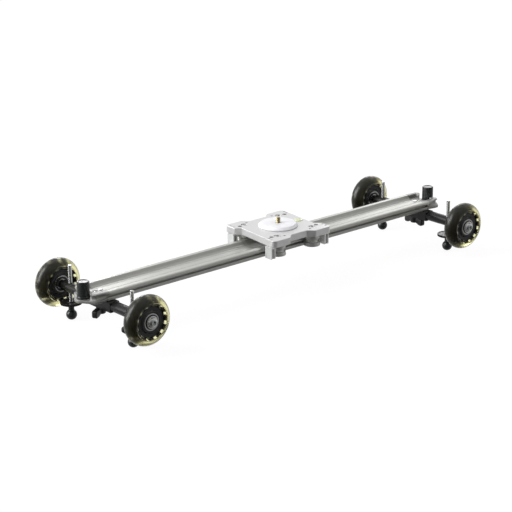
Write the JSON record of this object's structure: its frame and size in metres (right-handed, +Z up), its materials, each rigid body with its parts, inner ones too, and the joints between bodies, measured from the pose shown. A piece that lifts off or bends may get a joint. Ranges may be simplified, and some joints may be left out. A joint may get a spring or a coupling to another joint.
{
  "type": "skater dolly",
  "caption": "Tabletop camera dolly: a short rail with a roller carriage, on two swivelling trucks with skate wheels and screw legs with ball feet.",
  "frame": {"origin": "on the floor, under the middle of the rail", "axes": "+X along the rail, +Z up, +Y towards the back wheels"},
  "size_m": [0.6286, 0.2136, 0.0885],
  "materials": {
    "rail_aluminium": "satin silver, brushed along its length",
    "cast": "satin cast",
    "plate": "silver, fine bead blast",
    "black_metal": "satin black",
    "nylon": "satin moulded",
    "rubber": "smooth",
    "steel": "bright zinc",
    "roller_steel": "turned",
    "urethane": "smoke-coloured, translucent",
    "white_disc": "satin",
    "stud": "yellow zinc",
    "vial": "clear over pale yellow-green"
  },
  "bodies": {
    "rail": {"rail": "rail_aluminium", "end_cap_left": "cast", "end_cap_right": "cast", "bumper_left": "rubber", "bumper_right": "rubber", "cap_screw_left": "steel", "cap_screw_right": "steel"},
    "carriage": {"carriage_plate": "plate", "mount_disc": "white_disc", "mount_stud": "stud", "bubble_level": "vial", "roller_bolt_left_front": "steel", "corner_guard_left_front": "cast", "roller_bolt_left_back": "steel", "corner_guard_left_back": "cast", "roller_bolt_right_front": "steel", "corner_guard_right_front": "cast", "roller_bolt_right_back": "steel", "corner_guard_right_back": "cast"},
    "truck_left": {"truck_left": "black_metal", "axle_bolt_left_front": "steel", "axle_bolt_left_back": "steel"},
    "wing_knob_left": {"wing_knob_left": "nylon"},
    "wheel_left_front": {"tyre_left_front": "urethane", "wheel_core_left_front": "nylon", "bearing_outer_left_front": "steel", "bearing_inner_left_front": "steel"},
    "leg_left_front": {"leg_rod_left_front": "steel", "leg_disc_left_front": "nylon", "leg_foot_left_front": "rubber"},
    "roller_left_front": {"roller_left_front": "roller_steel"},
    "wheel_left_back": {"tyre_left_back": "urethane", "wheel_core_left_back": "nylon", "bearing_outer_left_back": "steel", "bearing_inner_left_back": "steel"},
    "leg_left_back": {"leg_rod_left_back": "steel", "leg_disc_left_back": "nylon", "leg_foot_left_back": "rubber"},
    "roller_left_back": {"roller_left_back": "roller_steel"},
    "truck_right": {"truck_right": "black_metal", "axle_bolt_right_front": "steel", "axle_bolt_right_back": "steel"},
    "wing_knob_right": {"wing_knob_right": "nylon"},
    "wheel_right_front": {"tyre_right_front": "urethane", "wheel_core_right_front": "nylon", "bearing_outer_right_front": "steel", "bearing_inner_right_front": "steel"},
    "leg_right_front": {"leg_rod_right_front": "steel", "leg_disc_right_front": "nylon", "leg_foot_right_front": "rubber"},
    "roller_right_front": {"roller_right_front": "roller_steel"},
    "wheel_right_back": {"tyre_right_back": "urethane", "wheel_core_right_back": "nylon", "bearing_outer_right_back": "steel", "bearing_inner_right_back": "steel"},
    "leg_right_back": {"leg_rod_right_back": "steel", "leg_disc_right_back": "nylon", "leg_foot_right_back": "rubber"},
    "roller_right_back": {"roller_right_back": "roller_steel"}
  },
  "joints": [
    {"name": "carriage_slide", "type": "slide", "parent": "rail", "child": "carriage", "axis": [1, 0, 0], "range_m": [-0.2582, 0.2272]},
    {"name": "truck_left_swivel", "type": "hinge", "parent": "rail", "child": "truck_left", "pos_m": [-0.277, 0, 0.0425], "axis": [0, 0, 1], "range_deg": [-25, 25]},
    {"name": "wing_knob_left_turn", "type": "hinge", "parent": "rail", "child": "wing_knob_left", "pos_m": [-0.277, 0, 0.0425], "axis": [0, 0, 1], "continuous": true},
    {"name": "wheel_left_front_spin", "type": "hinge", "parent": "truck_left", "child": "wheel_left_front", "pos_m": [-0.277, -0.092, 0.0425], "axis": [0, 1, 0], "continuous": true},
    {"name": "leg_left_front_screw", "type": "slide", "parent": "truck_left", "child": "leg_left_front", "axis": [0, 0, 1], "range_m": [-0.02, 0.0118]},
    {"name": "roller_left_front_spin", "type": "hinge", "parent": "carriage", "child": "roller_left_front", "pos_m": [-0.015, -0.033, 0.0425], "axis": [0, 0, 1], "continuous": true},
    {"name": "wheel_left_back_spin", "type": "hinge", "parent": "truck_left", "child": "wheel_left_back", "pos_m": [-0.277, 0.092, 0.0425], "axis": [0, 1, 0], "continuous": true},
    {"name": "leg_left_back_screw", "type": "slide", "parent": "truck_left", "child": "leg_left_back", "axis": [0, 0, 1], "range_m": [-0.02, 0.0118]},
    {"name": "roller_left_back_spin", "type": "hinge", "parent": "carriage", "child": "roller_left_back", "pos_m": [-0.015, 0.033, 0.0425], "axis": [0, 0, 1], "continuous": true},
    {"name": "truck_right_swivel", "type": "hinge", "parent": "rail", "child": "truck_right", "pos_m": [0.277, 0, 0.0425], "axis": [0, 0, 1], "range_deg": [-25, 25]},
    {"name": "wing_knob_right_turn", "type": "hinge", "parent": "rail", "child": "wing_knob_right", "pos_m": [0.277, 0, 0.0425], "axis": [0, 0, 1], "continuous": true},
    {"name": "wheel_right_front_spin", "type": "hinge", "parent": "truck_right", "child": "wheel_right_front", "pos_m": [0.277, -0.092, 0.0425], "axis": [0, 1, 0], "continuous": true},
    {"name": "leg_right_front_screw", "type": "slide", "parent": "truck_right", "child": "leg_right_front", "axis": [0, 0, 1], "range_m": [-0.02, 0.0118]},
    {"name": "roller_right_front_spin", "type": "hinge", "parent": "carriage", "child": "roller_right_front", "pos_m": [0.046, -0.033, 0.0425], "axis": [0, 0, 1], "continuous": true},
    {"name": "wheel_right_back_spin", "type": "hinge", "parent": "truck_right", "child": "wheel_right_back", "pos_m": [0.277, 0.092, 0.0425], "axis": [0, 1, 0], "continuous": true},
    {"name": "leg_right_back_screw", "type": "slide", "parent": "truck_right", "child": "leg_right_back", "axis": [0, 0, 1], "range_m": [-0.02, 0.0118]},
    {"name": "roller_right_back_spin", "type": "hinge", "parent": "carriage", "child": "roller_right_back", "pos_m": [0.046, 0.033, 0.0425], "axis": [0, 0, 1], "continuous": true}
  ],
  "couplings": [
    {"joint": "roller_left_front_spin", "follows": "carriage_slide", "rad_per_m": 123.46},
    {"joint": "roller_left_back_spin", "follows": "carriage_slide", "rad_per_m": -123.46},
    {"joint": "roller_right_front_spin", "follows": "carriage_slide", "rad_per_m": 123.46},
    {"joint": "roller_right_back_spin", "follows": "carriage_slide", "rad_per_m": -123.46}
  ]
}
